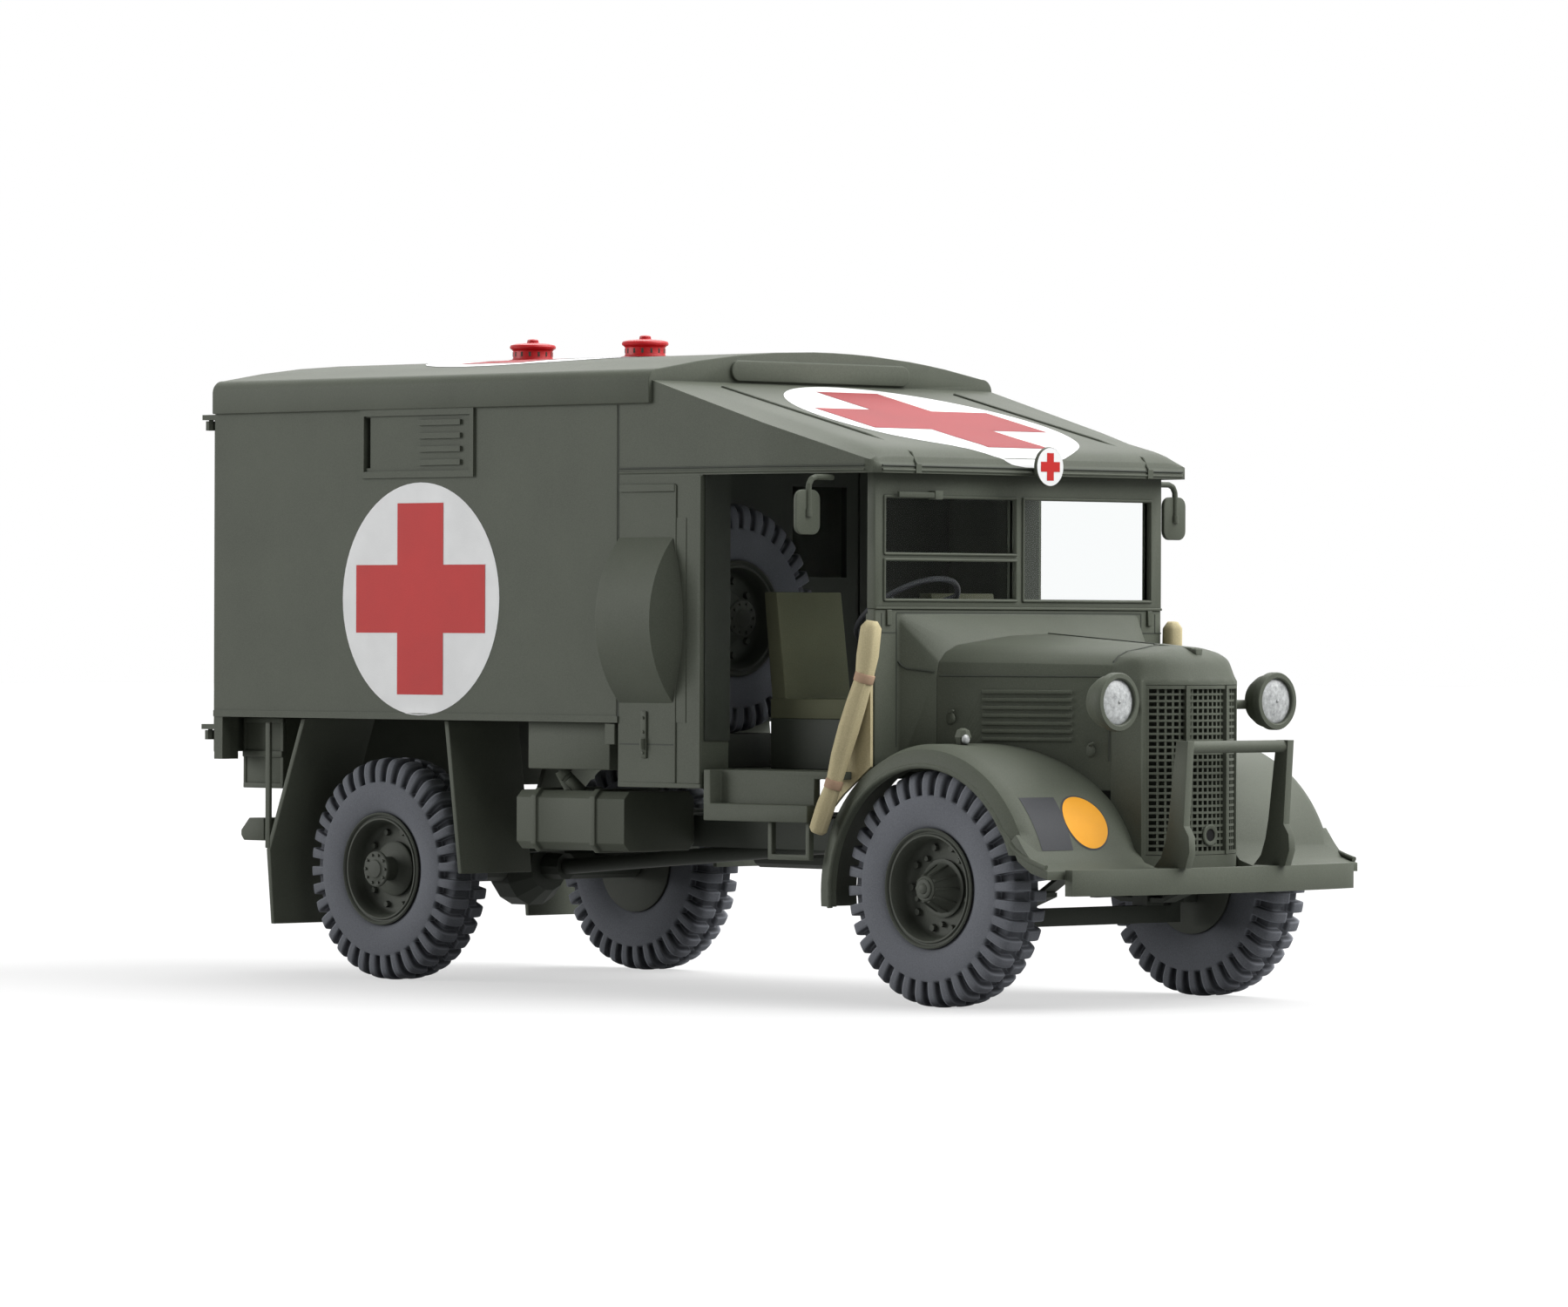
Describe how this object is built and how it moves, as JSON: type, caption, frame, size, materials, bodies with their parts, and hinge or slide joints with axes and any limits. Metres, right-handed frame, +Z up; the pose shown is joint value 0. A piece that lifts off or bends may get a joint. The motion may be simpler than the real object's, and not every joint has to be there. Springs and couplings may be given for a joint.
{
  "type": "scale model military ambulance truck",
  "caption": "Small-scale plastic model of a bonneted ambulance truck with a box body, open cab sides, rolling wheels and hinged rear doors.",
  "frame": {"origin": "on the ground under the middle of the overall length and width", "axes": "+X forward towards the grille, +Y to the model's left, +Z up"},
  "size_m": [0.1164, 0.0514, 0.0615],
  "materials": {
    "green_plastic": "matt olive green paint on grey plastic",
    "wheel_plastic": "matt dark green paint",
    "tyre_plastic": "matt dark blue grey, worn light on the lugs",
    "chassis_plastic": "matt dark green paint in shade",
    "red_plastic": "satin red",
    "seat_plastic": "matt olive",
    "canvas_plastic": "matt khaki",
    "clear_plastic": "clear moulded pane",
    "lamp_plastic": "silvered lens"
  },
  "bodies": {
    "vehicle": {"body_side_left": "green_plastic", "body_side_right": "green_plastic", "bonnet": "green_plastic", "brush_guard": "green_plastic", "bulkhead": "green_plastic", "cab_floor": "green_plastic", "cab_quarter_left": "green_plastic", "cab_quarter_right": "green_plastic", "cab_roof": "green_plastic", "canvas_curtains": "canvas_plastic", "chassis_frame": "chassis_plastic", "engine_and_gearbox": "chassis_plastic", "exhaust": "chassis_plastic", "front_axle": "chassis_plastic", "front_bumper": "green_plastic", "fuel_tank": "green_plastic", "grille": "green_plastic", "headlamp_lenses": "lamp_plastic", "headlamps": "green_plastic", "leaf_springs": "chassis_plastic", "load_floor": "green_plastic", "main_roof": "green_plastic", "mirrors": "green_plastic", "mudflaps": "green_plastic", "nose_shell": "green_plastic", "propeller_shaft": "chassis_plastic", "rear_axle": "chassis_plastic", "rear_frame": "green_plastic", "scuttle": "green_plastic", "seat_boxes": "green_plastic", "seats": "seat_plastic", "side_lamps": "green_plastic", "spare_tyre": "tyre_plastic", "spare_wheel": "wheel_plastic", "steering_wheel": "chassis_plastic", "stirrup_steps": "green_plastic", "underbody_lockers": "green_plastic", "ventilators": "red_plastic", "windscreen_frame": "green_plastic", "windscreen_panes": "clear_plastic", "wing_left": "green_plastic", "wing_right": "green_plastic"},
    "front_right_wheel": {"tyre_front_right": "tyre_plastic", "wheel_front_right": "wheel_plastic"},
    "front_left_wheel": {"tyre_front_left": "tyre_plastic", "wheel_front_left": "wheel_plastic"},
    "rear_right_wheel": {"tyre_rear_right": "tyre_plastic", "wheel_rear_right": "wheel_plastic"},
    "rear_left_wheel": {"tyre_rear_left": "tyre_plastic", "wheel_rear_left": "wheel_plastic"},
    "right_rear_door": {"rear_door_right": "green_plastic", "rear_pane_right": "clear_plastic"},
    "left_rear_door": {"rear_door_left": "green_plastic", "rear_pane_left": "clear_plastic"}
  },
  "joints": [
    {"name": "front_right_wheel_spin", "type": "hinge", "parent": "vehicle", "child": "front_right_wheel", "pos_m": [0.0384, -0.01715, 0.01055], "axis": [0, 1, 0], "continuous": true},
    {"name": "front_left_wheel_spin", "type": "hinge", "parent": "vehicle", "child": "front_left_wheel", "pos_m": [0.0384, 0.01715, 0.01055], "axis": [0, 1, 0], "continuous": true},
    {"name": "rear_right_wheel_spin", "type": "hinge", "parent": "vehicle", "child": "rear_right_wheel", "pos_m": [-0.0347, -0.0166, 0.01055], "axis": [0, 1, 0], "continuous": true},
    {"name": "rear_left_wheel_spin", "type": "hinge", "parent": "vehicle", "child": "rear_left_wheel", "pos_m": [-0.0347, 0.0166, 0.01055], "axis": [0, 1, 0], "continuous": true},
    {"name": "right_rear_door_swing", "type": "hinge", "parent": "vehicle", "child": "right_rear_door", "pos_m": [-0.0567, -0.02145, 0.03735], "axis": [0, 0, 1], "range_deg": [0, 120]},
    {"name": "left_rear_door_swing", "type": "hinge", "parent": "vehicle", "child": "left_rear_door", "pos_m": [-0.0567, 0.02145, 0.03735], "axis": [0, 0, -1], "range_deg": [0, 120]}
  ]
}
